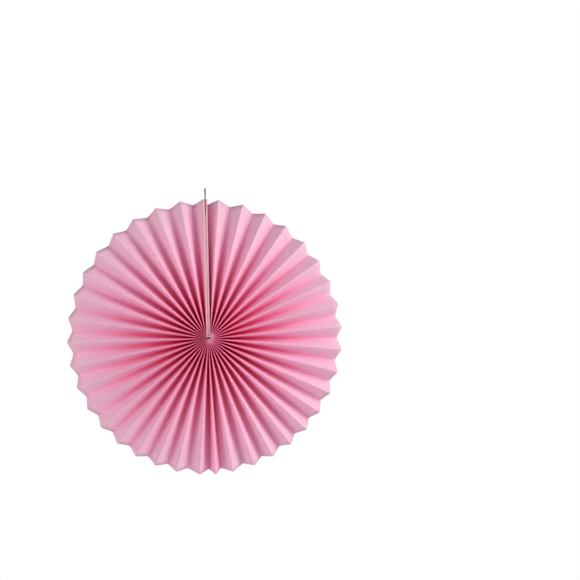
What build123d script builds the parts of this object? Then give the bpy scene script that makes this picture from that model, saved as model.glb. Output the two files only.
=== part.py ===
"""Hanging paper fan rosette, 400 mm across.

Two pleated paper sheets open into a full disc. They are glued together at the bottom, and at the top each
ends on a stiff board. The two boards are stuck face to face. A ring of thread runs through the punched
inner ends of the panels, and a thread loop that goes round it comes up between the boards to hang the fan.

The disc stands in the XZ plane with its front towards -Y and its seam at the top. The origin is the centre
of the rim. A panel is the strip of paper between two folds. Folds are numbered clockwise from the right end
board, as seen from the front: even ones lie at the rear and odd ones at the front.
"""

import os
from itertools import accumulate, pairwise
from math import asin, atan2, cos, dist, pi, radians, sin, sqrt, tan

from build123d import *

# Rim and hub: the hub lies a little off the rim's centre, and the paper's outer edge is cut on a slant
rim_radius = 200.0
rim_slant = 6.6
hub_x = 5.5
hub_z = -1.2
seam_lean = 1.3

# Pleated paper
paper = 0.18
panel_width = 24.0
pleat_count = 37
layer_gap = 0.042
glue_film = 0.03
span_count = 10
span_growth = 1.5

# How the panels share the rim: wider at the top and the left, narrower at both ends and at the lap. The pleat
# after the lap leans over, the one before it is stretched and the three before that are squeezed
top_spread = 0.067
left_spread = 0.022
lap_share = 0.58
lap_lean = 0.13
lap_stretch = 0.08
lap_squeeze = 0.035
stretched_panels = 2
squeezed_panels = 6
end_share = 0.9

# End boards and the tape between them
board_thickness = 1.8
board_inset = 1.5
tape_width = 4.0
tape_setback = 1.0
tape_hub_gap = 0.5
tape_rim_gap = 13.0
tape_bevel = 6.0

# Hanging thread and its knot
loop_thread = 1.3
loop_height = 17.0
loop_radius = 3.9
loop_bend = 45.0
run_share = 0.45
thread_clearance = 0.05
knot_clearance = 0.1
knot_flat = 1.9

# Binding thread
ring_thread = 1.2
ring_inset = 4.0
punched_clearance = 0.3
leg_clearance = 0.1

# The panels are an odd number, so that they start behind the right board and end in front of the left one
panel_count = 2 * pleat_count + 1
lap_panel = 2 * (pleat_count // 2)
layers = [2 if panel == lap_panel else 1 for panel in range(panel_count)]

# The boards are a little narrower than the panels
board_depth = panel_width - 2 * board_inset

# Half the seam, out to the outer faces of the boards and then of the paper glued on them
board_gap = loop_thread + 2 * thread_clearance
board_face = board_gap / 2 + board_thickness
seam_half = board_face + paper

# The layers stand side by side round the hub, with the seam between the first and the last
hub_radius = (sum(layers) * (paper + layer_gap) + 2 * seam_half) / (2 * pi)
ring_radius = hub_radius + ring_inset

# The knot fills the hole that the layers leave at the hub
knot_radius = hub_radius - knot_clearance

# Directions in the seam's own frame: across it to the right, and along it outwards from the hub
lean = radians(seam_lean)
across_dir = Vector(cos(lean), 0, sin(lean))
along_dir = Vector(-sin(lean), 0, cos(lean))
depth_dir = Vector(0, 1, 0)
hub = Vector(hub_x, 0, hub_z)

# From the hub along the seam to the rim
hub_along = hub.dot(along_dir)
seam_front = sqrt(rim_radius**2 - hub.length**2 + hub_along**2) - hub_along
seam_rear = seam_front - rim_slant


def seam_point(across, depth, along):
    """A point given in the seam's own frame."""
    return hub + across_dir * across + depth_dir * depth + along_dir * along


def seam_plane(across):
    """The plane across the seam at this distance, drawn on with depth and distance from the hub."""
    return Plane(origin=seam_point(across, 0, 0), x_dir=depth_dir, z_dir=across_dir)


def is_front(fold):
    """Whether this fold is one of those that stand towards the viewer."""
    return fold % 2 == 1


def inner_end(fold):
    """Where a fold ends at the hub, seen from the front."""
    start = asin(seam_half / hub_radius)
    turn = start + (2 * pi - 2 * start) * sum(layers[:fold]) / sum(layers) - lean
    return (hub_x + hub_radius * sin(turn), hub_z + hub_radius * cos(turn))


def rim_shares():
    """The share of the rim that each panel takes."""
    turns = [2 * pi * (panel + 0.5) / panel_count for panel in range(panel_count)]
    shares = [1 + top_spread * cos(turn) - left_spread * sin(turn) for turn in turns]
    shares[0] *= end_share
    shares[-1] *= end_share
    shares[lap_panel] *= lap_share
    shares[lap_panel + 1] *= lap_share
    shares[lap_panel + 2] *= 1 - lap_lean
    shares[lap_panel + 3] *= 1 + lap_lean
    for panel in range(lap_panel - stretched_panels, lap_panel):
        shares[panel] *= 1 + lap_stretch
    for panel in range(lap_panel - stretched_panels - squeezed_panels, lap_panel - stretched_panels):
        shares[panel] *= 1 - lap_squeeze
    return shares


def rim_ends():
    """Where the folds end at the rim, seen from the front."""
    first = seam_point(seam_half, 0, seam_rear)
    last = seam_point(-seam_half, 0, seam_front)
    start = atan2(first.X, first.Z)
    turn = 2 * pi + atan2(last.X, last.Z) - start
    steps = [0, *accumulate(rim_shares())]
    ends = [(first.X, first.Z)]
    for fold in range(1, panel_count):
        radius = rim_radius if is_front(fold) else rim_radius - rim_slant
        angle = start + turn * steps[fold] / steps[-1]
        ends.append((radius * sin(angle), radius * cos(angle)))
    return [*ends, (last.X, last.Z)]


outer_ends = rim_ends()
inner_ends = [inner_end(fold) for fold in range(panel_count + 1)]


def fold_points(span):
    """The places of all folds at a share of their length from the hub, seen from the front."""
    return [
        (xi + (xo - xi) * span, zi + (zo - zi) * span)
        for (xi, zi), (xo, zo) in zip(inner_ends, outer_ends)
    ]


def fold_thickness(chord, depth):
    """How deep the paper is at a fold, front to back, where its panels open by this chord."""
    return paper * (chord**2 + depth**2) / (chord * sqrt(chord**2 + depth**2 - paper**2) + paper * depth)


def sheet_section(span):
    """The front and back surface of the paper at each fold, with the height of glue between two layers."""
    places = fold_points(span)
    chords = [dist(a, b) for a, b in pairwise(places)]
    depths = [sqrt(panel_width**2 - chord**2) for chord in chords]
    section = []
    for fold, (x, z) in enumerate(places):
        beside = [panel for panel in (fold - 1, fold) if 0 <= panel < panel_count]
        chord = sum(chords[panel] / layers[panel] for panel in beside) / len(beside)
        depth = sum(depths[panel] for panel in beside) / len(beside)
        thick = fold_thickness(chord, depth)
        glue = glue_film * thick / paper
        half = depth / 2 if len(beside) == 2 else board_depth / 2
        front = -half if is_front(fold) else half - thick
        section.append((x, z, front, front + thick, glue))
    return section


def board_strip(side, span):
    """The front and rear edge of the paper glued on a board, each as its outer and its inner surface."""
    along_front = hub_radius + (seam_front - hub_radius) * span
    along_rear = hub_radius + (seam_rear - hub_radius) * span
    surfaces = (side * seam_half, side * board_face)
    front_edge = [seam_point(across, -board_depth / 2, along_front) for across in surfaces]
    rear_edge = [seam_point(across, board_depth / 2, along_rear) for across in surfaces]
    return front_edge, rear_edge


def right_row(span):
    """Front and back points of the right sheet, from its edge on the board to its lap behind the left one."""
    section = sheet_section(span)
    (front_outer, front_inner), (rear_outer, rear_inner) = board_strip(1, span)
    x, z, front, back, glue = section[0]
    row = [(front_outer, front_inner), (Vector(x, front, z), rear_inner)]
    for x, z, front, back, glue in section[1 : lap_panel + 1]:
        row.append((Vector(x, front, z), Vector(x, back, z)))
    x, z, front, back, glue = section[lap_panel + 1]
    row.append((Vector(x, back + glue, z), Vector(x, 2 * back - front + glue, z)))
    return row


def left_row(span):
    """Front and back points of the left sheet, from its lap on the right one to its edge on the board."""
    section = sheet_section(span)
    (front_outer, front_inner), (rear_outer, rear_inner) = board_strip(-1, span)
    x, z, front, back, glue = section[lap_panel]
    row = [(Vector(x, 2 * front - back - glue, z), Vector(x, front - glue, z))]
    for x, z, front, back, glue in section[lap_panel + 1 : panel_count]:
        row.append((Vector(x, front, z), Vector(x, back, z)))
    x, z, front, back, glue = section[panel_count]
    return [*row, (front_inner, Vector(x, back, z)), (rear_inner, rear_outer)]


def flat_pair(a, b, c, d):
    """Two flat triangles over four corners."""
    return [
        Face(Wire.make_polygon([a, b, c])),
        Face(Wire.make_polygon([c, d, a])),
    ]


def pleated_sheet(rows):
    """Sews a sheet from flat facets: its two surfaces, its rim and hub edges and its two side edges."""
    facets = []
    for near, far in pairwise(rows):
        for (near_a, near_b), (far_a, far_b) in zip(pairwise(near), pairwise(far)):
            for surface in (0, 1):
                facets += flat_pair(near_a[surface], near_b[surface], far_b[surface], far_a[surface])
        for side in (0, -1):
            facets += flat_pair(*near[side], *reversed(far[side]))
    for edge in (rows[0], rows[-1]):
        for left, right in pairwise(edge):
            facets += flat_pair(*left, *reversed(right))
    return Solid(Shell(facets))


# The facets' spans grow towards the rim
spans = [(step / span_count) ** span_growth for step in range(span_count + 1)]

# Binding thread: a ring through every panel and both boards, half way between their front and rear edges
hub_axis = Axis(origin=hub, direction=depth_dir)
ring_section = Plane(origin=hub + Vector(ring_radius, 0, 0), x_dir=(1, 0, 0), z_dir=(0, 0, 1))

with BuildPart() as binding_thread:
    with BuildSketch(ring_section):
        Circle(ring_thread / 2)
    revolve(axis=hub_axis)

# The square holes that are punched for it
with BuildPart() as punched_holes:
    with BuildSketch(ring_section):
        Rectangle(ring_thread + 2 * punched_clearance, ring_thread + 2 * punched_clearance)
    revolve(axis=hub_axis)

# The two sheets
with BuildPart() as right_pleated_sheet:
    add(pleated_sheet([right_row(span) for span in spans]))
    add(punched_holes.part, mode=Mode.SUBTRACT)

with BuildPart() as left_pleated_sheet:
    add(pleated_sheet([left_row(span) for span in spans]))
    add(punched_holes.part, mode=Mode.SUBTRACT)


def board_outline():
    """The side of an end board, cut on the same slant as the paper at the rim."""
    front = -board_depth / 2
    rear = board_depth / 2
    Polyline((front, hub_radius), (rear, hub_radius), (rear, seam_rear), (front, seam_front), close=True)


# End boards
with BuildPart() as right_end_board:
    with BuildSketch(seam_plane(board_gap / 2)):
        with BuildLine():
            board_outline()
        make_face()
    extrude(amount=board_thickness)
    add(punched_holes.part, mode=Mode.SUBTRACT)

with BuildPart() as left_end_board:
    with BuildSketch(seam_plane(-board_gap / 2)):
        with BuildLine():
            board_outline()
        make_face()
    extrude(amount=-board_thickness)
    add(punched_holes.part, mode=Mode.SUBTRACT)


def tape(facing):
    """One adhesive strip between the boards, on the front side (-1) or the rear side (1) of the thread."""
    outer = facing * (board_depth / 2 - tape_setback)
    inner = facing * (board_depth / 2 - tape_setback - tape_width)
    bottom = hub_radius + tape_hub_gap
    top = seam_rear - tape_rim_gap
    corners = [(outer, bottom), (outer, top - tape_bevel), (inner, top), (inner, bottom)]
    with BuildPart() as strip:
        with BuildSketch(seam_plane(-board_gap / 2)):
            with BuildLine():
                Polyline(*corners, close=True)
            make_face()
        extrude(amount=board_gap)
    return strip


front_tape = tape(-1)
rear_tape = tape(1)

# Hub knot: the ends of the hanging thread, tied below the binding thread in the hole at the hub
with BuildPart() as hub_knot:
    with Locations(hub):
        Sphere(knot_radius)
    split(bisect_by=Plane(origin=seam_point(0, 0, knot_flat), z_dir=along_dir), keep=Keep.BOTTOM)

# Hanging thread: up from the knot on both sides of the binding thread, between the boards and over in a loop
leg_offset = (loop_thread + ring_thread) / 2 + leg_clearance
loop_top = seam_front + loop_height - loop_thread / 2
corner = loop_radius * tan(radians(loop_bend) / 2)
thread_route = [
    (-leg_offset, knot_flat),
    (-leg_offset, ring_radius),
    (-loop_radius, loop_top - loop_radius + corner),
    (-corner, loop_top),
    (corner, loop_top),
    (loop_radius, loop_top - loop_radius + corner),
    (leg_offset, ring_radius),
    (leg_offset, knot_flat),
]


def bend_radii(points):
    """The largest arc that each corner's two runs allow."""
    radii = []
    for before, here, after in zip(points, points[1:], points[2:]):
        arriving = Vector(here[0] - before[0], here[1] - before[1])
        leaving = Vector(after[0] - here[0], after[1] - here[1])
        turn = radians(arriving.get_angle(leaving))
        radii.append(run_share * min(arriving.length, leaving.length) / tan(turn / 2))
    return radii


thread_radii = bend_radii(thread_route)

with BuildPart() as hanging_thread:
    with BuildLine(seam_plane(0)) as thread_path:
        FilletPolyline(*thread_route, radius=thread_radii)
    with BuildSketch(Plane(origin=thread_path.line @ 0, z_dir=thread_path.line % 0)):
        Circle(loop_thread / 2)
    sweep()

parts = {
    "right_pleated_sheet": right_pleated_sheet,
    "left_pleated_sheet": left_pleated_sheet,
    "right_end_board": right_end_board,
    "left_end_board": left_end_board,
    "front_tape": front_tape,
    "rear_tape": rear_tape,
    "binding_thread": binding_thread,
    "hanging_thread": hanging_thread,
    "hub_knot": hub_knot,
}

os.makedirs("parts", exist_ok=True)
for name, builder in parts.items():
    builder.part.label = name
    export_step(builder.part, f"parts/{name}.step")

thread_length = thread_path.wire().length
thread_volume = pi * (loop_thread / 2) ** 2 * thread_length
print("hub radius", round(hub_radius, 2), "ring radius", round(ring_radius, 2))
print("hanging thread: length", round(thread_length, 1))
print("hanging thread: radii", [round(radius, 1) for radius in thread_radii])
print("hanging thread: volume", round(hanging_thread.part.volume, 2))
print("hanging thread: section times length", round(thread_volume, 2))
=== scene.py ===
"""Looks of the hanging paper fan rosette: pleated pink paper, edge boards, tape and twisted threads.

The paper is modelled on the fan's own folds. Folds are numbered clockwise from the right end board, as seen
from the front: even ones lie at the rear and odd ones at the front. A panel is the strip between two folds.
"""

import random
from collections import namedtuple
from itertools import accumulate, pairwise
from math import asin, atan2, cos, dist, hypot, pi, radians, sin, sqrt, tan

import bmesh
import bpy
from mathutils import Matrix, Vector, noise


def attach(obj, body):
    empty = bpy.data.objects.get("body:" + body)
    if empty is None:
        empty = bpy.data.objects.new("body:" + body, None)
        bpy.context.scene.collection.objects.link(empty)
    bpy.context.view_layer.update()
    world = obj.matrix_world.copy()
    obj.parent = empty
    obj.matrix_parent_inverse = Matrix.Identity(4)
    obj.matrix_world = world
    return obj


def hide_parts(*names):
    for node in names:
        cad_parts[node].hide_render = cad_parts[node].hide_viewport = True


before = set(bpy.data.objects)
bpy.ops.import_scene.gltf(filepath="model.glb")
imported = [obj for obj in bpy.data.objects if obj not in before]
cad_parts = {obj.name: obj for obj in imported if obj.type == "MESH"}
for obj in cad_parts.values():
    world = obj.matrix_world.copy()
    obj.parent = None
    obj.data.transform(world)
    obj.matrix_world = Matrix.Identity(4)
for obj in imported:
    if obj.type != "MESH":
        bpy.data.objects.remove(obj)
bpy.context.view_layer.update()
MM = 0.001

# The fan, as in the solid model
RIM_RADIUS = 200 * MM
RIM_SLANT = 6.6 * MM
HUB_X = 5.5 * MM
HUB_Z = -1.2 * MM
SEAM_LEAN = radians(1.3)
PAPER = 0.18 * MM
PANEL_WIDTH = 24 * MM
PLEAT_COUNT = 37
LAYER_GAP = 0.042 * MM
GLUE_FILM = 0.03 * MM
TOP_SPREAD = 0.067
LEFT_SPREAD = 0.022
LAP_SHARE = 0.58
LAP_LEAN = 0.13
LAP_STRETCH = 0.08
LAP_SQUEEZE = 0.035
STRETCHED_PANELS = 2
SQUEEZED_PANELS = 6
END_SHARE = 0.9
BOARD_THICKNESS = 1.8 * MM
BOARD_DEPTH = 21 * MM
LOOP_THREAD = 1.3 * MM
LOOP_HEIGHT = 17 * MM
THREAD_CLEARANCE = 0.05 * MM
RING_THREAD = 1.2 * MM
RING_INSET = 4 * MM
PUNCH_RADIUS = 0.9 * MM
LEG_CLEARANCE = 0.1 * MM
LOOP_RADIUS = 3.9 * MM
LOOP_BEND = radians(45)
KNOT_FLAT = 1.9 * MM

PANEL_COUNT = 2 * PLEAT_COUNT + 1
LAP_PANEL = 2 * (PLEAT_COUNT // 2)
LAYERS = [2 if panel == LAP_PANEL else 1 for panel in range(PANEL_COUNT)]
BOARD_GAP = LOOP_THREAD + 2 * THREAD_CLEARANCE
BOARD_FACE = BOARD_GAP / 2 + BOARD_THICKNESS
SEAM_HALF = BOARD_FACE + PAPER
HUB_RADIUS = (sum(LAYERS) * (PAPER + LAYER_GAP) + 2 * SEAM_HALF) / (2 * pi)
RING_RADIUS = HUB_RADIUS + RING_INSET
LEG_OFFSET = (LOOP_THREAD + RING_THREAD) / 2 + LEG_CLEARANCE
LOOP_CORNER = LOOP_RADIUS * tan(LOOP_BEND / 2)

ACROSS = Vector((cos(SEAM_LEAN), 0, sin(SEAM_LEAN)))
ALONG = Vector((-sin(SEAM_LEAN), 0, cos(SEAM_LEAN)))
DEPTH = Vector((0, 1, 0))
HUB = Vector((HUB_X, 0, HUB_Z))
HUB_ALONG = HUB.dot(ALONG)
SEAM_FRONT = sqrt(RIM_RADIUS**2 - HUB.length_squared + HUB_ALONG**2) - HUB_ALONG
SEAM_REAR = SEAM_FRONT - RIM_SLANT

# How finely the paper is modelled, and how far it strays from the flat and even
CREST_RADIUS = 0.45 * MM
CREST_SHARE = 0.8
CREST_LEAST = 0.02 * MM
VALLEY_RADIUS = 0.3 * MM
BEND_STEPS = 3
FOLD_MARGIN = 0.08
WIDE_COLUMNS = (0.27, 0.5, 0.73)
WIDE_FROM = 0.03
WIDE_GROWTH = 0.2
PUNCHED_RISE = 8 * PUNCH_RADIUS
SQUEEZED = -1
PUNCHED_ROW = 3
ROW_COUNT = 34
ROW_GROWTH = 1.25
HOLE_HALF_WIDTH = 3.0 * MM
HOLE_HALF_HEIGHT = 1.5 * MM
BOARD_END = 1.0 * MM
PANEL_BOW = 0.35 * MM
WAVE_HEIGHT = 0.12 * MM
WAVE_LENGTH = 45 * MM
WAVE_SHIFT = 7.3
LIFT_GROWTH = 3
FOLD_STRAY = 0.45 * MM
STRAY_SEED = 5
FLAT_START = -0.01

# How the paper's colour deepens in the folds as painted shade over its own pink, and where painted shade
# darkens the paper near the hub and painted highlights pale it
WIDTH_SHADE = 0.45
DEPTH_SHADE = 0.55
DEPTH_POWER = 1.5
HUB_SHADE_RADIUS = 20 * MM
HUB_SHADE_FADE = 12 * MM
HIGHLIGHT_SPOTS = ((1.7 * MM, -5.1 * MM, 4.5 * MM), (5.8 * MM, 3 * MM, 4.5 * MM))
HIGHLIGHT_MOST = 0.6

# Board edges and threads
BOARD_ROUNDING = 0.25 * MM
BOARD_FUZZ = 0.06 * MM
BOARD_FUZZ_SIZE = 0.9 * MM
BOARD_COLUMNS = (-8 * MM, -5 * MM, -2.5 * MM)
BOARD_ROWS = 90
BOARD_END_SHARE = 0.004
BOARD_PUNCHED_ROW = 3
THREAD_STEP = 0.45 * MM
THREAD_LAY = 4.2 * MM
PLY_RADIUS_SHARE = 0.37
PLY_OFFSET_SHARE = 0.14
PLY_SIDES = 8
SPLINE_STEPS = 60
LOOP_TWIST = 0.55 * MM
KNOT_STEPS = 160
KNOT_TURNS = 5.5
KNOT_TAPER = 0.8
KNOT_HALF_WIDTH = 2.5 * MM
KNOT_HALF_DEPTH = 2.2 * MM
KNOT_HALF_HEIGHT = 0.8 * MM
KNOT_DROP = 0.25 * MM
KNOT_THREAD = 1.2 * MM

# The picture: the rim's centre lies off its middle by this share of its width
PICTURE_WIDTH = 845.6 * MM
CAMERA_DISTANCE = 2.5
SENSOR_WIDTH = 36
SHIFT_X = 0.1474
SHIFT_Y = 0.0809

# Colours of the paper: from the deepest fold to the most open, with painted shade in the folds; painted
# shade near the hub, lighter and darker; painted highlights beside the hole; and its edge
PAPER_AND_FOLD_SHADE_STOPS = [
    (0.14, (0.90, 0.04, 0.085)),
    (0.21, (0.95, 0.095, 0.23)),
    (0.29, (0.94, 0.165, 0.34)),
    (0.37, (0.92, 0.238, 0.408)),
    (0.46, (0.905, 0.31, 0.485)),
    (0.55, (0.885, 0.378, 0.553)),
    (0.67, (0.855, 0.437, 0.597)),
    (0.78, (0.81, 0.464, 0.598)),
    (0.86, (0.78, 0.476, 0.6)),
]
CLOUD_DARK = (0.97, 0.96, 0.965)
FIBRE_DARK = (0.97, 0.95, 0.96)
HUB_SHADE_LIGHT = (0.86, 0.20, 0.37)
HUB_SHADE_DARK = (0.46, 0.075, 0.13)
HIGHLIGHT_DARK = (0.86, 0.52, 0.62)
HIGHLIGHT_LIGHT = (0.93, 0.62, 0.72)
EDGE_DARK = (0.62, 0.36, 0.44)
EDGE_LIGHT = (0.82, 0.56, 0.64)

# Colours of the rest, and how matt all of it is
BOARD_DARK = (0.76, 0.40, 0.43)
BOARD_LIGHT = (0.93, 0.60, 0.64)
FLECK_DARK = (0.84, 0.8, 0.8)
TAPE_DARK = (0.60, 0.42, 0.44)
TAPE_LIGHT = (0.74, 0.56, 0.58)
THREAD_DARK = (0.014, 0.008, 0.011)
THREAD_LIGHT = (0.05, 0.03, 0.04)
FLOOR_GREY = (0.86, 0.86, 0.86, 1)
CLEAR = (1, 1, 1)
WHITE = (1, 1, 1, 1)
MATT = 0.9
FAINT_GLOSS = 0.02

# Light: soft lamps, each with its place, side and power, and an even light from all round
LAMPS = {
    "right": ((0.778, -0.503, 0.209), 0.5, 5.65),
    "left": ((-0.806, -0.503, 0), 0.5, 3.25),
    "top": ((1.374, -1.033, 1.374), 1.0, 11.2),
    "front": ((0, -2.4, 0), 1.2, 10.6),
    "rear": ((-0.9, 0.9, 0.25), 0.6, 12.0),
}
AMBIENT = 0.22
FLOOR_LEVEL = -0.6
FLOOR_RADIUS = 1.5
FLOOR_SIDES = 96
FLOOR_GLOW = 0.5


def seam_point(across, depth, along):
    """A point given across the seam, front to back, and along it from the hub."""
    return HUB + ACROSS * across + DEPTH * depth + ALONG * along


def is_front(fold):
    """Whether this fold stands towards the viewer."""
    return fold % 2 == 1


# Camera
def add_camera():
    """Looks straight at the disc, with the picture shifted so that the fan stands at its lower left."""
    data = bpy.data.cameras.new("camera")
    data.sensor_width = SENSOR_WIDTH
    data.lens = SENSOR_WIDTH * CAMERA_DISTANCE / PICTURE_WIDTH
    data.shift_x = SHIFT_X
    data.shift_y = SHIFT_Y
    camera = bpy.data.objects.new("camera", data)
    camera.location = (0, -CAMERA_DISTANCE, 0)
    camera.rotation_euler = (pi / 2, 0, 0)
    bpy.context.scene.collection.objects.link(camera)
    bpy.context.scene.camera = camera


add_camera()


# Shader helpers
def new_material(name, roughness, specular):
    """A material with its own node tree, and its shader."""
    material = bpy.data.materials.new(name)
    material.use_nodes = True
    shader = material.node_tree.nodes["Principled BSDF"]
    shader.inputs["Roughness"].default_value = roughness
    shader.inputs["Specular IOR Level"].default_value = specular
    return material, material.node_tree, shader


def add_node(tree, kind, **values):
    """A node with these settings; a key that names an input sets that input."""
    node = tree.nodes.new(kind)
    for key, value in values.items():
        if hasattr(node, key):
            setattr(node, key, value)
        else:
            node.inputs[key.replace("_", " ")].default_value = value
    return node


def noise_from(tree, vector, scale, detail, stretch=(1, 1, 1)):
    """Noise over these coordinates, stretched along an axis by a small number there."""
    mapping = add_node(tree, "ShaderNodeMapping")
    mapping.inputs["Scale"].default_value = stretch
    texture = add_node(tree, "ShaderNodeTexNoise", Scale=scale, Detail=detail)
    tree.links.new(vector, mapping.inputs["Vector"])
    tree.links.new(mapping.outputs["Vector"], texture.inputs["Vector"])
    return texture.outputs["Fac"]


def colour_ramp(tree, factor, stops):
    """A colour that follows the factor from stop to stop, each a factor and a colour."""
    ramp = add_node(tree, "ShaderNodeValToRGB")
    elements = ramp.color_ramp.elements
    while len(elements) < len(stops):
        elements.new(1)
    for element, (position, colour) in zip(elements, stops):
        element.position = position
        element.color = (*colour, 1)
    tree.links.new(factor, ramp.inputs["Fac"])
    return ramp.outputs["Color"]


def colour_between(tree, factor, dark, light, low=0.3, high=0.7):
    """A colour that runs from dark to light as the factor goes from low to high, most often noise."""
    return colour_ramp(tree, factor, [(low, dark), (high, light)])


def mix_colours(tree, factor, first, second):
    """The first colour where the factor is 0 and the second where it is 1."""
    mix = add_node(tree, "ShaderNodeMix", data_type="RGBA")
    tree.links.new(factor, mix.inputs["Factor"])
    tree.links.new(first, mix.inputs["A"])
    tree.links.new(second, mix.inputs["B"])
    return mix.outputs["Result"]


def multiply_colours(tree, first, second):
    """The product of two colours."""
    mix = add_node(tree, "ShaderNodeMix", data_type="RGBA", blend_type="MULTIPLY")
    mix.inputs["Factor"].default_value = 1
    tree.links.new(first, mix.inputs["A"])
    tree.links.new(second, mix.inputs["B"])
    return mix.outputs["Result"]


def flat_place(tree):
    """The place on the unfolded paper, board or thread, in metres."""
    return add_node(tree, "ShaderNodeUVMap", uv_map="flat").outputs["UV"]


def point_value(tree, name):
    """A number that the mesh carries at its points."""
    return add_node(tree, "ShaderNodeAttribute", attribute_name=name).outputs["Fac"]


def bump_from(tree, height, distance, strength, below=None):
    """Bump of this height in metres, on top of another bump."""
    bump = add_node(tree, "ShaderNodeBump", Distance=distance, Strength=strength)
    tree.links.new(height, bump.inputs["Height"])
    if below is not None:
        tree.links.new(below, bump.inputs["Normal"])
    return bump.outputs["Normal"]


# Materials
def paper_material():
    """Matt pink paper with cloudy pulp and fibres, its colour deepened by painted shade in the folds and
    near the hub, and paled by painted highlights beside the hole.
    """
    material, tree, shader = new_material("pink_paper", roughness=MATT, specular=0)
    flat = flat_place(tree)
    cloud = noise_from(tree, flat, scale=60, detail=3)
    fibre = noise_from(tree, flat, scale=900, detail=4, stretch=(1, 0.22, 1))
    grain = noise_from(tree, flat, scale=2600, detail=2)

    # Painted shade: the pink deepens and darkens where a pleat is narrow and deep, in place of the shade
    # and red bounce light between the folds
    paper_and_fold_shade = colour_ramp(tree, point_value(tree, "openness"), PAPER_AND_FOLD_SHADE_STOPS)
    # Painted shade near the hub: lighter to the right, towards the lamps, and darker to the left
    leftward = point_value(tree, "leftward")
    hub_shade_colour = colour_between(tree, leftward, HUB_SHADE_LIGHT, HUB_SHADE_DARK, low=0, high=1)
    with_hub_shade = mix_colours(tree, point_value(tree, "hub_shade"), paper_and_fold_shade, hub_shade_colour)
    pulp = multiply_colours(tree, with_hub_shade, colour_between(tree, cloud, CLOUD_DARK, CLEAR))
    colour = multiply_colours(tree, pulp, colour_between(tree, fibre, FIBRE_DARK, CLEAR))
    # Painted highlights: small pale spots beside the hole, where the lap's ridge and the paper round the
    # hole catch the light
    worn = colour_between(tree, fibre, HIGHLIGHT_DARK, HIGHLIGHT_LIGHT)
    highlight = mix_colours(tree, point_value(tree, "highlight"), colour, worn)
    tree.links.new(highlight, shader.inputs["Base Color"])

    coarse = bump_from(tree, fibre, distance=0.03 * MM, strength=0.5)
    fine = bump_from(tree, grain, distance=0.02 * MM, strength=0.5, below=coarse)
    tree.links.new(fine, shader.inputs["Normal"])
    return material


def edge_material():
    """The paper's cut edge: a paler core with torn fibres."""
    material, tree, shader = new_material("paper_cut_edge", roughness=MATT, specular=FAINT_GLOSS)
    place = add_node(tree, "ShaderNodeTexCoord").outputs["Object"]
    fibre = noise_from(tree, place, scale=2200, detail=3)
    tree.links.new(colour_between(tree, fibre, EDGE_DARK, EDGE_LIGHT), shader.inputs["Base Color"])
    torn = bump_from(tree, fibre, distance=0.03 * MM, strength=0.6)
    tree.links.new(torn, shader.inputs["Normal"])
    return material


def board_material():
    """Greyboard with pressed layers that show along its cut edges, speckled with pulp."""
    material, tree, shader = new_material("end_board", roughness=MATT, specular=FAINT_GLOSS)
    flat = flat_place(tree)
    layers = noise_from(tree, flat, scale=1400, detail=3, stretch=(1, 0.02, 1))
    speck = noise_from(tree, flat, scale=700, detail=4)
    base = colour_between(tree, layers, BOARD_DARK, BOARD_LIGHT, low=0.32, high=0.68)
    flecks = colour_between(tree, speck, FLECK_DARK, CLEAR, low=0.35, high=0.62)
    tree.links.new(multiply_colours(tree, base, flecks), shader.inputs["Base Color"])
    ridges = bump_from(tree, layers, distance=0.08 * MM, strength=0.7)
    tree.links.new(ridges, shader.inputs["Normal"])
    return material


def tape_material():
    """Pale closed-cell foam tape."""
    material, tree, shader = new_material("foam_tape", roughness=0.7, specular=0.3)
    place = add_node(tree, "ShaderNodeTexCoord").outputs["Object"]
    cells = add_node(tree, "ShaderNodeTexVoronoi", Scale=2500.0)
    tree.links.new(place, cells.inputs["Vector"])
    cell = cells.outputs["Distance"]
    colour = colour_between(tree, cell, TAPE_DARK, TAPE_LIGHT, low=0, high=0.8)
    tree.links.new(colour, shader.inputs["Base Color"])
    pores = bump_from(tree, cell, distance=0.08 * MM, strength=0.6)
    tree.links.new(pores, shader.inputs["Normal"])
    return material


def thread_material():
    """Dark grey cotton thread with fine fibres along each ply."""
    material, tree, shader = new_material("grey_thread", roughness=MATT, specular=FAINT_GLOSS)
    fibre = noise_from(tree, flat_place(tree), scale=5000, detail=3, stretch=(1, 0.12, 1))
    tree.links.new(colour_between(tree, fibre, THREAD_DARK, THREAD_LIGHT), shader.inputs["Base Color"])
    fibres = bump_from(tree, fibre, distance=0.05 * MM, strength=0.7)
    tree.links.new(fibres, shader.inputs["Normal"])
    return material


MATERIALS = {
    "paper": paper_material(),
    "edge": edge_material(),
    "board": board_material(),
    "tape": tape_material(),
    "thread": thread_material(),
}


# Meshes
def make_piece(name, vertices, faces, flat, materials, values=None, cut_from=None):
    """A mesh object that rides on the fan, with no loose points and its faces turned outwards.

    Each vertex has its flat place and its values. The faces from cut_from on are cut edges: they aren't
    smooth and take the second material.
    """
    used = sorted({index for face in faces for index in face})
    place = {old: new for new, old in enumerate(used)}
    mesh = bpy.data.meshes.new(name)
    mesh.from_pydata([vertices[i] for i in used], [], [[place[i] for i in face] for face in faces])
    for material in materials:
        mesh.materials.append(material)
    for index, polygon in enumerate(mesh.polygons):
        is_cut = cut_from is not None and index >= cut_from
        polygon.use_smooth = not is_cut
        polygon.material_index = int(is_cut)
    layer = mesh.uv_layers.new(name="flat")
    for loop in mesh.loops:
        layer.data[loop.index].uv = flat[used[loop.vertex_index]]
    for key, numbers in (values or {}).items():
        attribute = mesh.attributes.new(key, "FLOAT", "POINT")
        attribute.data.foreach_set("value", [numbers[i] for i in used])
    turn_outwards(mesh)
    piece = bpy.data.objects.new(name, mesh)
    bpy.context.scene.collection.objects.link(piece)
    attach(piece, "root")
    return piece


def turn_outwards(mesh):
    """Makes the faces of a closed mesh point outwards."""
    work = bmesh.new()
    work.from_mesh(mesh)
    bmesh.ops.recalc_face_normals(work, faces=work.faces)
    work.to_mesh(mesh)
    work.free()


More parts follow.
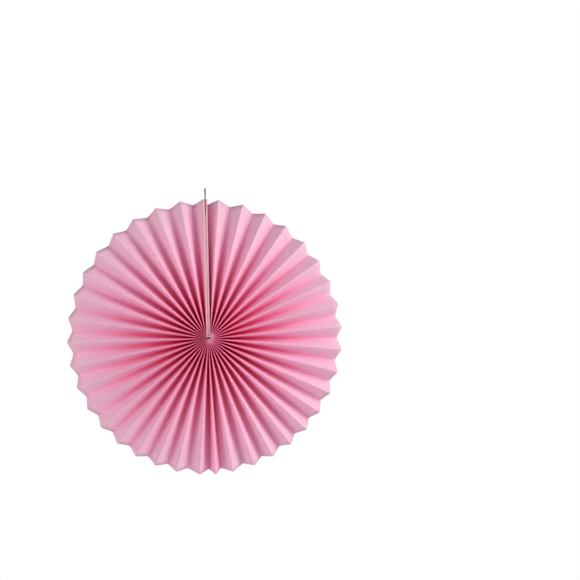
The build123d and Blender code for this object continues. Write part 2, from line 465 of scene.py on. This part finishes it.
def slab_faces(row_count, column_count, holes):
    """Faces of a thin slab with two surfaces, first the surfaces and then its cut edges.

    Point (row, column) of the first surface has the index 2 * (row * column_count + column), and that of
    the second surface one more. Each hole is the point at the middle of four cells that are left out. Also
    returns the number of faces before the cut edges.
    """
    def point(row, column, surface):
        return 2 * (row * column_count + column) + surface

    missing = {(row - a, column - b) for row, column in holes for a in (0, 1) for b in (0, 1)}
    faces = []
    for row in range(row_count - 1):
        for column in range(column_count - 1):
            if (row, column) in missing:
                continue
            ring = [(row, column), (row, column + 1), (row + 1, column + 1), (row + 1, column)]
            faces.append([point(*corner, 0) for corner in ring])
            faces.append([point(*corner, 1) for corner in reversed(ring)])
    surface_count = len(faces)
    border = [(0, column) for column in range(column_count - 1)]
    border += [(row, column_count - 1) for row in range(row_count - 1)]
    border += [(row_count - 1, column) for column in range(column_count - 1, 0, -1)]
    border += [(row, 0) for row in range(row_count - 1, 0, -1)]
    loops = [border]
    for row, column in holes:
        steps = [(-1, -1), (-1, 0), (-1, 1), (0, 1), (1, 1), (1, 0), (1, -1), (0, -1)]
        loops.append([(row + a, column + b) for a, b in steps])
    for loop in loops:
        for here, there in zip(loop, [*loop[1:], loop[0]]):
            faces.append([point(*here, 0), point(*here, 1), point(*there, 1), point(*there, 0)])
    return faces, surface_count


# Folds of the paper
def inner_end(fold):
    """Where a fold ends at the hub in the solids, seen from the front."""
    start = asin(SEAM_HALF / HUB_RADIUS)
    turn = start + (2 * pi - 2 * start) * sum(LAYERS[:fold]) / sum(LAYERS) - SEAM_LEAN
    return HUB_X + HUB_RADIUS * sin(turn), HUB_Z + HUB_RADIUS * cos(turn)


def squeezed_end(fold):
    """Where a fold really ends: the layers are squeezed further in, to an oval hole below the boards."""
    start = atan2(SEAM_HALF, BOARD_END)
    turn = start + (2 * pi - 2 * start) * sum(LAYERS[:fold]) / sum(LAYERS)
    place = seam_point(HOLE_HALF_WIDTH * sin(turn), 0, HOLE_HALF_HEIGHT * cos(turn))
    return place.x, place.z


def rim_shares():
    """The share of the rim that each panel takes."""
    turns = [2 * pi * (panel + 0.5) / PANEL_COUNT for panel in range(PANEL_COUNT)]
    shares = [1 + TOP_SPREAD * cos(turn) - LEFT_SPREAD * sin(turn) for turn in turns]
    shares[0] *= END_SHARE
    shares[-1] *= END_SHARE
    shares[LAP_PANEL] *= LAP_SHARE
    shares[LAP_PANEL + 1] *= LAP_SHARE
    shares[LAP_PANEL + 2] *= 1 - LAP_LEAN
    shares[LAP_PANEL + 3] *= 1 + LAP_LEAN
    for panel in range(LAP_PANEL - STRETCHED_PANELS, LAP_PANEL):
        shares[panel] *= 1 + LAP_STRETCH
    for panel in range(LAP_PANEL - STRETCHED_PANELS - SQUEEZED_PANELS, LAP_PANEL - STRETCHED_PANELS):
        shares[panel] *= 1 - LAP_SQUEEZE
    return shares


def rim_ends():
    """Where the folds end at the rim, seen from the front, each a little astray."""
    stray = random.Random(STRAY_SEED)
    first = seam_point(SEAM_HALF, 0, SEAM_REAR)
    last = seam_point(-SEAM_HALF, 0, SEAM_FRONT)
    start = atan2(first.x, first.z)
    turn = 2 * pi + atan2(last.x, last.z) - start
    steps = [0, *accumulate(rim_shares())]
    ends = [(first.x, first.z)]
    for fold in range(1, PANEL_COUNT):
        radius = RIM_RADIUS if is_front(fold) else RIM_RADIUS - RIM_SLANT
        astray = stray.uniform(-1, 1) * FOLD_STRAY / RIM_RADIUS
        angle = start + turn * steps[fold] / steps[-1] + astray
        ends.append((radius * sin(angle), radius * cos(angle)))
    return [*ends, (last.x, last.z)]


OUTER_ENDS = rim_ends()
INNER_ENDS = [inner_end(fold) for fold in range(PANEL_COUNT + 1)]
SQUEEZED_ENDS = [squeezed_end(fold) for fold in range(PANEL_COUNT + 1)]


Fold = namedtuple("Fold", "x z front back glue")


def sheet_section(span):
    """Per fold: its place seen from the front, the paper's front and back there and the layer of glue."""
    places = [
        (xi + (xo - xi) * span, zi + (zo - zi) * span)
        for (xi, zi), (xo, zo) in zip(INNER_ENDS, OUTER_ENDS)
    ]
    if span == SQUEEZED:
        places = SQUEEZED_ENDS
    chords = [dist(a, b) for a, b in pairwise(places)]
    depths = [sqrt(PANEL_WIDTH**2 - chord**2) for chord in chords]
    section = []
    for fold, (x, z) in enumerate(places):
        beside = [panel for panel in (fold - 1, fold) if 0 <= panel < PANEL_COUNT]
        chord = sum(chords[panel] / LAYERS[panel] for panel in beside) / len(beside)
        depth = sum(depths[panel] for panel in beside) / len(beside)
        square = chord**2 + depth**2
        thick = PAPER * square / (chord * sqrt(square - PAPER**2) + PAPER * depth)
        thick = min(thick, depth / (2 + GLUE_FILM / PAPER))
        half = depth / 2 if len(beside) == 2 else BOARD_DEPTH / 2
        front = -half if is_front(fold) else half - thick
        section.append(Fold(x, z, front, front + thick, GLUE_FILM * thick / PAPER))
    return section


def fold_point(fold, depth):
    """The point of a fold at this depth."""
    return Vector((fold.x, depth, fold.z))


def both_sides(fold):
    """The paper's front and back point at a fold."""
    return fold_point(fold, fold.front), fold_point(fold, fold.back)


def board_strip(side, span):
    """The front and rear edge of the paper glued on a board, each as its outer and its inner surface."""
    along_front = HUB_RADIUS + (SEAM_FRONT - HUB_RADIUS) * span if span >= 0 else BOARD_END
    along_rear = HUB_RADIUS + (SEAM_REAR - HUB_RADIUS) * span if span >= 0 else BOARD_END
    surfaces = (side * SEAM_HALF, side * BOARD_FACE)
    front_edge = [seam_point(across, -BOARD_DEPTH / 2, along_front) for across in surfaces]
    rear_edge = [seam_point(across, BOARD_DEPTH / 2, along_rear) for across in surfaces]
    return front_edge, rear_edge


def right_corners(span):
    """Front and back points of the right sheet's corners, from the board to the lap on the left sheet."""
    folds = sheet_section(span)
    (front_outer, front_inner), (_, rear_inner) = board_strip(1, span)
    lap = folds[LAP_PANEL + 1]
    return [
        (front_outer, front_inner),
        (fold_point(folds[0], folds[0].front), rear_inner),
        *[both_sides(fold) for fold in folds[1 : LAP_PANEL + 1]],
        (fold_point(lap, lap.back + lap.glue), fold_point(lap, 2 * lap.back - lap.front + lap.glue)),
    ]


def left_corners(span):
    """Front and back points of the left sheet's corners, from the lap on the right sheet to the board."""
    folds = sheet_section(span)
    (_, front_inner), (rear_outer, rear_inner) = board_strip(-1, span)
    lap, last = folds[LAP_PANEL], folds[PANEL_COUNT]
    return [
        (fold_point(lap, 2 * lap.front - lap.back - lap.glue), fold_point(lap, lap.front - lap.glue)),
        *[both_sides(fold) for fold in folds[LAP_PANEL + 1 : PANEL_COUNT]],
        (front_inner, fold_point(last, last.back)),
        (rear_inner, rear_outer),
    ]


def row_spans():
    """Where the rows lie: the squeezed end, the hub at 0, the punched holes and the rest up to the rim."""
    length = RIM_RADIUS - HUB_RADIUS
    punched = [(RING_INSET + step * PUNCH_RADIUS) / length for step in (-1, 0, 1)]
    steps = [(step / ROW_COUNT) ** ROW_GROWTH for step in range(1, ROW_COUNT + 1)]
    return [SQUEEZED, 0, *punched, *[punched[-1] + (1 - punched[-1]) * step for step in steps]]


def column_shares(start, end, span):
    """How far along a panel its five columns lie, and whether the middle one can be punched."""
    rise = end.y - start.y
    step = PUNCH_RADIUS if rise > 0 else -PUNCH_RADIUS
    crosses = (start.y + step) * (end.y - step) < 0 and abs(rise) > PUNCHED_RISE
    narrow = [(k * step - start.y) / rise for k in (-1, 0, 1)] if crosses else WIDE_COLUMNS
    spread = min(1, max(0, (span - WIDE_FROM) / WIDE_GROWTH))
    middle = [a + (b - a) * spread for a, b in zip(narrow, WIDE_COLUMNS)]
    return [FOLD_MARGIN, *middle, 1 - FOLD_MARGIN], crosses


def crest_bend(before, corner, after, radius):
    """Points round the outside of a fold, on an arc whose top is the corner: the ends touch both panels."""
    toward, away = (before - corner).normalized(), (after - corner).normalized()
    inward = (toward + away).normalized()
    side = (away - toward).normalized()
    sweep = pi / 2 - toward.angle(inward)
    turns = [sweep * step / BEND_STEPS for step in range(-BEND_STEPS, BEND_STEPS + 1)]
    return [corner + inward * (radius * (1 - cos(turn))) + side * (radius * sin(turn)) for turn in turns]


def valley_bend(before, corner, after, radius):
    """Points round the inside of a fold, from one panel to the other."""
    first = corner + (before - corner).normalized() * radius
    last = corner + (after - corner).normalized() * radius
    steps = [step / (2 * BEND_STEPS) for step in range(2 * BEND_STEPS + 1)]
    return [first * (1 - t) ** 2 + corner * (2 * t * (1 - t)) + last * t**2 for t in steps]


def panel_lift(share, span, number):
    """How far a panel's paper leaves the straight line between its folds there, towards its front."""
    hump = 4 * share * (1 - share)
    across, along = share * PANEL_WIDTH / WAVE_LENGTH, span * RIM_RADIUS / WAVE_LENGTH
    wave = noise.noise(Vector((number * WAVE_SHIFT, across, along))) * WAVE_HEIGHT
    return (PANEL_BOW * sin(2 * pi * share) + wave * hump) * min(1, max(0, LIFT_GROWTH * span))


def chord_between(start, end):
    """How far apart two points are, seen from the front."""
    return dist((start.x, start.z), (end.x, end.z))


def panel_chords(line):
    """Each panel's width seen from the front, or half of the widest beside it where that is more."""
    chords = [chord_between(start, end) for start, end in pairwise(line)]
    return [max(chord, max(chords[max(0, i - 1) : i + 2]) / 2) for i, chord in enumerate(chords)]


def openness_at(chord, crest, place):
    """How open a pleat is at a place on one surface: 1 on a flat sheet, near 0 deep in a narrow fold."""
    width = chord / PANEL_WIDTH
    depth = (abs(place.y - crest) / PANEL_WIDTH) ** DEPTH_POWER
    return width**WIDTH_SHADE * (width / hypot(width, depth)) ** DEPTH_SHADE


def hub_shade_at(place):
    """How much painted shade darkens the paper at a place: only close to the hub."""
    radius = hypot(place.x - HUB_X, place.z - HUB_Z)
    return min(1, max(0, (HUB_SHADE_RADIUS - radius) / HUB_SHADE_FADE))


def leftward_at(place):
    """How far a place lies to the left of the hub: 0 straight to its right, 1 straight to its left."""
    across, up = place.x - HUB_X, place.z - HUB_Z
    return 0.5 - 0.5 * across / hypot(across, up)


def highlight_at(place):
    """How strong the painted highlight is at a place: in small spots beside the hole."""
    marks = [
        1 - hypot(place.x - HUB_X - across, place.z - HUB_Z - up) / radius
        for across, up, radius in HIGHLIGHT_SPOTS
    ]
    return HIGHLIGHT_MOST * max(0, *marks)


def surface_bends(line, outside):
    """The bend at each inner corner of one surface, where outside says which corners are crests."""
    bends = {}
    for index in range(1, len(line) - 1):
        before, corner, after = line[index - 1 : index + 2]
        chord = min(chord_between(corner, other) for other in (before, after))
        if outside[index]:
            radius = max(CREST_LEAST, min(CREST_RADIUS, CREST_SHARE * chord))
            bends[index] = crest_bend(before, corner, after, radius)
        else:
            bends[index] = valley_bend(before, corner, after, VALLEY_RADIUS)
    return bends


class Surface:
    """One side of the paper in one row: its corners, the bends at them and how wide its panels stand."""

    def __init__(self, line, outside, level_of):
        self.line = line
        self.bends = surface_bends(line, outside)
        self.chords = panel_chords(line)
        self.crest_level = level_of(point.y for point in line[1:-1])

    def panel_ends(self, number):
        """Where a panel's straight part starts and ends."""
        last = len(self.line) - 1
        start = self.bends[number][-1] if number else self.line[0]
        end = self.bends[number + 1][0] if number + 1 < last else self.line[last]
        return start, end

    def openness(self, numbers, place):
        """How open these panels are at a place, on average."""
        chords = [self.chords[number] for number in numbers]
        return sum(openness_at(chord, self.crest_level, place) for chord in chords) / len(chords)


def row_surfaces(corners, front_first):
    """The front and the back surface of one row."""
    surfaces = []
    for side, level_of in enumerate((min, max)):
        outside = [(index % 2 == front_first) == (side == 0) for index in range(len(corners))]
        surfaces.append(Surface([pair[side] for pair in corners], outside, level_of))
    return surfaces


def panel_columns(surface, number, span, panel, direction):
    """Points along one panel of a surface, how far along it they lie and whether it can be punched."""
    start, end = surface.panel_ends(number)
    shares, crosses = column_shares(start, end, span)
    normal = (end - start).cross(Vector((start.x - HUB_X, 0, start.z - HUB_Z))).normalized()
    normal = normal if normal.y < 0 else -normal
    lifts = [panel_lift(share, span, panel) * direction for share in shares]
    return [start.lerp(end, share) + normal * lift for share, lift in zip(shares, lifts)], shares, crosses


def row_point(surfaces, numbers, places, along):
    """One point of a row on both surfaces, with its place along the flat sheet and its openness on each."""
    front, back = places
    open_front, open_back = [surface.openness(numbers, place) for surface, place in zip(surfaces, places)]
    return front, back, along, open_front, open_back


def sheet_row(corners, span, first_number, front_first):
    """One row of a sheet: its points, and which of them are punched."""
    surfaces = row_surfaces(corners, front_first)
    last = len(corners) - 1
    row, holes = [row_point(surfaces, [0], corners[0], 0.0)], []
    for number in range(last):
        panel, direction = first_number + number, 1 if number % 2 == front_first else -1
        front, back = [panel_columns(surface, number, span, panel, direction) for surface in surfaces]
        (front_places, shares, front_crosses), (back_places, _, back_crosses) = front, back
        if front_crosses and back_crosses:
            holes.append(len(row) + len(shares) // 2)
        for share, *places in zip(shares, front_places, back_places):
            row.append(row_point(surfaces, [number], places, number + share))
        if number + 1 < last:
            for step, places in enumerate(zip(*[surface.bends[number + 1] for surface in surfaces])):
                along = number + 1 + FOLD_MARGIN * (step - BEND_STEPS) / (BEND_STEPS + 1)
                row.append(row_point(surfaces, [number, number + 1], places, along))
    row.append(row_point(surfaces, [last - 1], corners[last], float(last)))
    return row, holes


def add_sheet(name, corners_at, first_number, front_first):
    """A pleated sheet that stands for the solid of its name."""
    vertices, flat, openness, holes = [], [], [], []
    spans = row_spans()
    for index, span in enumerate(spans):
        row, punched = sheet_row(corners_at(span), span, first_number, front_first)
        if index == PUNCHED_ROW:
            holes = [(index, column) for column in punched]
        along = max(span, FLAT_START) * (RIM_RADIUS - HUB_RADIUS)
        for front, back, place, open_front, open_back in row:
            vertices += [front, back]
            flat += [(place * PANEL_WIDTH, along), (place * PANEL_WIDTH, along + 1)]
            openness += [open_front, open_back]
    faces, surface_count = slab_faces(len(spans), len(row), holes)
    values = {
        "openness": openness,
        "hub_shade": [hub_shade_at(vertex) for vertex in vertices],
        "leftward": [leftward_at(vertex) for vertex in vertices],
        "highlight": [highlight_at(vertex) for vertex in vertices],
    }
    piece = make_piece(
        name + "_paper", vertices, faces, flat, [MATERIALS["paper"], MATERIALS["edge"]],
        values=values, cut_from=surface_count,
    )
    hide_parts(name)


add_sheet("right_pleated_sheet", right_corners, 0, 0)
add_sheet("left_pleated_sheet", left_corners, LAP_PANEL, 1)


# End boards
def rounded_side(depth, radius):
    """A rounded side edge, from its outermost point back to the face: depth and inset below the face."""
    turns = [pi / 2 * step / BEND_STEPS for step in range(BEND_STEPS + 1)]
    return [(depth - radius * (1 - sin(turn)), radius * (1 - cos(turn))) for turn in reversed(turns)]


def board_columns():
    """Columns across a board, each a depth and an inset below the face.

    Either rounded side is listed from its other end, so there the mesh folds back by the rounding's radius.
    """
    side = rounded_side(BOARD_DEPTH / 2, BOARD_ROUNDING)
    front_side = [(-depth, inset) for depth, inset in reversed(side)]
    front = [(depth, 0.0) for depth in BOARD_COLUMNS]
    hole = [(step * PUNCH_RADIUS, 0.0) for step in (-1, 0, 1)]
    rear = [(-depth, 0.0) for depth in reversed(BOARD_COLUMNS)]
    return [*front_side, *front, *hole, *rear, *side]


def board_shares():
    """How far along a board its rows lie: both ends, the punched hole and the rest."""
    length = SEAM_REAR - BOARD_END
    punched = [(RING_RADIUS - BOARD_END + step * PUNCH_RADIUS) / length for step in (-1, 0, 1)]
    left = 1 - BOARD_END_SHARE - punched[-1]
    rest = [punched[-1] + left * step / BOARD_ROWS for step in range(1, BOARD_ROWS + 1)]
    return [0, BOARD_END_SHARE, *punched, *rest, 1]


def add_board(name, side):
    """An end board that stands for the solid of its name, with frayed edges."""
    columns, shares = board_columns(), board_shares()
    vertices, flat = [], []
    for share in shares:
        end_inset = BOARD_ROUNDING if share in (0, 1) else 0
        for depth, inset in columns:
            top = SEAM_FRONT + (SEAM_REAR - SEAM_FRONT) * (depth / BOARD_DEPTH + 0.5)
            along = BOARD_END + (top - BOARD_END) * share
            below = max(inset, end_inset)
            fuzz = noise.noise(Vector((depth, along, side)) / BOARD_FUZZ_SIZE) if below > 0 else 0
            frayed = depth + BOARD_FUZZ * fuzz * (1 if depth > 0 else -1)
            for layer, across in enumerate((BOARD_FACE - below, BOARD_GAP / 2 + below)):
                vertices.append(seam_point(side * across, frayed, along))
                flat.append((across, along + layer / 2))
    hole = (BOARD_PUNCHED_ROW, columns.index((0, 0)))
    faces, _ = slab_faces(len(shares), len(columns), [hole])
    piece = make_piece(name + "_card", vertices, faces, flat, [MATERIALS["board"]])
    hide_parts(name)


add_board("right_end_board", 1)
add_board("left_end_board", -1)

for name in ("front_tape", "rear_tape"):
    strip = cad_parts[name]
    strip.data.materials.clear()
    strip.data.materials.append(MATERIALS["tape"])


# Threads
def spline_points(route, name):
    """A thread's own line: points read from the smooth curve that the route's points control."""
    data = bpy.data.curves.new(name, "CURVE")
    data.dimensions = "3D"
    data.resolution_u = SPLINE_STEPS
    spline = data.splines.new("NURBS")
    spline.points.add(len(route) - 1)
    for point, place in zip(spline.points, route):
        point.co = (*place, 1)
    spline.order_u = 3
    spline.use_endpoint_u = True
    holder = bpy.data.objects.new(name, data)
    bpy.context.scene.collection.objects.link(holder)
    mesh = bpy.data.meshes.new_from_object(holder.evaluated_get(bpy.context.evaluated_depsgraph_get()))
    line = [vertex.co.copy() for vertex in mesh.vertices]
    bpy.data.objects.remove(holder)
    bpy.data.meshes.remove(mesh)
    return line


def even_points(line, step):
    """Points along a line, about this far apart."""
    marks = [0, *accumulate((b - a).length for a, b in pairwise(line))]
    count = max(2, round(marks[-1] / step))
    points, index = [], 0
    for number in range(count + 1):
        mark = marks[-1] * number / count
        while index < len(line) - 2 and marks[index + 1] < mark:
            index += 1
        share = (mark - marks[index]) / (marks[index + 1] - marks[index])
        points.append(line[index].lerp(line[index + 1], share))
    return points


def twisted_plies(line, ply_radius, ply_offset, turns, closed):
    """Vertices, faces and flat places of two plies that twist round a line."""
    vertices, faces, flat = [], [], []
    count = len(line)
    rings = count if closed else count - 1
    side = (line[1] - line[0]).orthogonal().normalized()
    frames = []
    for index, place in enumerate(line):
        before = line[index - 1] if index or closed else line[0]
        after = line[(index + 1) % count] if index < count - 1 or closed else line[-1]
        ahead = (after - before).normalized()
        side = (side - ahead * side.dot(ahead)).normalized()
        frames.append((place, side.copy(), ahead.cross(side)))
    drift = frames[-1][1].angle(frames[0][1]) if closed else 0
    for ply in (0, 1):
        centres = []
        for index, (place, right, up) in enumerate(frames):
            turn = 2 * pi * turns * index / rings + pi * ply - drift * index / count
            centres.append(place + (right * cos(turn) + up * sin(turn)) * ply_offset)
        start = len(vertices)
        for index, (place, right, up) in enumerate(frames):
            for corner in range(PLY_SIDES):
                angle = 2 * pi * corner / PLY_SIDES
                vertices.append(centres[index] + (right * cos(angle) + up * sin(angle)) * ply_radius)
                flat.append((ply_radius * angle, index * THREAD_STEP))
        for index in range(rings):
            here, there = start + index * PLY_SIDES, start + (index + 1) % count * PLY_SIDES
            for corner in range(PLY_SIDES):
                beside = (corner + 1) % PLY_SIDES
                faces.append([here + corner, here + beside, there + beside, there + corner])
        if not closed:
            faces.append([start + corner for corner in range(PLY_SIDES)])
            faces.append([start + (count - 1) * PLY_SIDES + corner for corner in range(PLY_SIDES)])
    return vertices, faces, flat


def add_thread(name, node, line, diameter, closed=False):
    """A two-ply thread along a line that stands for the solid of this node."""
    length = sum((b - a).length for a, b in pairwise(line))
    turns = round(length / THREAD_LAY)
    radius, offset = diameter * PLY_RADIUS_SHARE, diameter * PLY_OFFSET_SHARE
    vertices, faces, flat = twisted_plies(line, radius, offset, turns, closed)
    piece = make_piece(name, vertices, faces, flat, [MATERIALS["thread"]])
    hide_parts(node)
    return piece


def knot_line():
    """The knot's line: turns wound side by side across the hole, thinner towards both ends."""
    points = []
    for step in range(KNOT_STEPS + 1):
        share = 2 * step / KNOT_STEPS - 1
        girth = sqrt(1 - (KNOT_TAPER * share) ** 2)
        turn = pi * KNOT_TURNS * share
        depth, level = KNOT_HALF_DEPTH * girth * cos(turn), KNOT_HALF_HEIGHT * girth * sin(turn)
        points.append(seam_point(KNOT_HALF_WIDTH * share, depth, level - KNOT_DROP))
    return points


def loop_route():
    """Points that control the hanging thread's curve: up from the knot, over the loop and down again."""
    top = SEAM_FRONT + LOOP_HEIGHT - LOOP_THREAD / 2
    shoulder = top - LOOP_RADIUS + LOOP_CORNER
    rise = (SEAM_FRONT - RING_RADIUS) / (shoulder - RING_RADIUS)
    neck = LEG_OFFSET + (LOOP_RADIUS - LEG_OFFSET) * rise
    return [
        seam_point(0, -LEG_OFFSET, KNOT_FLAT),
        seam_point(0, -LEG_OFFSET, RING_RADIUS),
        seam_point(0, -neck, SEAM_FRONT + LOOP_THREAD),
        seam_point(-LOOP_TWIST, -LOOP_RADIUS, shoulder),
        seam_point(-LOOP_TWIST / 2, -LOOP_CORNER, top),
        seam_point(LOOP_TWIST / 2, LOOP_CORNER, top),
        seam_point(LOOP_TWIST, LOOP_RADIUS, shoulder),
        seam_point(0, neck, SEAM_FRONT + LOOP_THREAD),
        seam_point(0, LEG_OFFSET, RING_RADIUS),
        seam_point(0, LEG_OFFSET, KNOT_FLAT),
    ]


thread_route = loop_route()
thread_line = even_points(spline_points(thread_route, "thread_route"), THREAD_STEP)
hanging_thread = add_thread("hanging_thread_plies", "hanging_thread", thread_line, LOOP_THREAD)
knot = add_thread("hub_knot_plies", "hub_knot", knot_line(), KNOT_THREAD)


def ring_line():
    """The binding thread's line through the punched holes."""
    count = round(2 * pi * RING_RADIUS / THREAD_STEP)
    turns = [2 * pi * step / count for step in range(count)]
    return [HUB + Vector((RING_RADIUS * sin(turn), 0, RING_RADIUS * cos(turn))) for turn in turns]


add_thread("binding_thread_plies", "binding_thread", ring_line(), RING_THREAD, closed=True)


# Light
def add_lamp(name, place, side, power):
    """A square soft lamp that points at the rim's centre."""
    data = bpy.data.lights.new(name, "AREA")
    data.size = side
    data.energy = power
    lamp = bpy.data.objects.new(name, data)
    lamp.location = place
    lamp.rotation_euler = (-Vector(place)).to_track_quat("-Z", "Y").to_euler()
    bpy.context.scene.collection.objects.link(lamp)


def add_world():
    """White to the camera and in reflections, and an even soft light on the object."""
    world = bpy.data.worlds.new("world")
    world.use_nodes = True
    bpy.context.scene.world = world
    tree = world.node_tree
    light = tree.nodes["Background"]
    light.inputs["Color"].default_value = WHITE
    light.inputs["Strength"].default_value = AMBIENT
    seen = add_node(tree, "ShaderNodeBackground", Color=WHITE, Strength=1)
    path = add_node(tree, "ShaderNodeLightPath")
    direct = add_node(tree, "ShaderNodeMath", operation="MAXIMUM")
    clear = add_node(tree, "ShaderNodeMath", operation="MAXIMUM")
    mix = add_node(tree, "ShaderNodeMixShader")
    tree.links.new(path.outputs["Is Camera Ray"], direct.inputs[0])
    tree.links.new(path.outputs["Is Glossy Ray"], direct.inputs[1])
    tree.links.new(direct.outputs[0], clear.inputs[0])
    tree.links.new(path.outputs["Is Transmission Ray"], clear.inputs[1])
    tree.links.new(clear.outputs[0], mix.inputs["Fac"])
    tree.links.new(light.outputs[0], mix.inputs[1])
    tree.links.new(seen.outputs[0], mix.inputs[2])
    tree.links.new(mix.outputs[0], tree.nodes["World Output"].inputs["Surface"])


def add_floor():
    """A pale round floor under the hanging fan; to the camera it is paler than the light on it."""
    mesh = bpy.data.meshes.new("floor")
    rim = [2 * pi * step / FLOOR_SIDES for step in range(FLOOR_SIDES)]
    corners = [(FLOOR_RADIUS * cos(turn), FLOOR_RADIUS * sin(turn), FLOOR_LEVEL) for turn in rim]
    mesh.from_pydata(corners, [], [list(range(FLOOR_SIDES))])
    material, tree, shader = new_material("floor", roughness=MATT, specular=0.1)
    shader.inputs["Base Color"].default_value = FLOOR_GREY
    shader.inputs["Emission Color"].default_value = WHITE
    path = add_node(tree, "ShaderNodeLightPath")
    glow = add_node(tree, "ShaderNodeMath", operation="MULTIPLY")
    glow.inputs[1].default_value = FLOOR_GLOW
    tree.links.new(path.outputs["Is Camera Ray"], glow.inputs[0])
    tree.links.new(glow.outputs[0], shader.inputs["Emission Strength"])
    mesh.materials.append(material)
    floor = bpy.data.objects.new("floor", mesh)
    bpy.context.scene.collection.objects.link(floor)


add_world()
add_floor()
for name, (place, side, power) in LAMPS.items():
    add_lamp(name, place, side, power)

view_settings = bpy.context.scene.view_settings
view_settings.view_transform = "Standard"
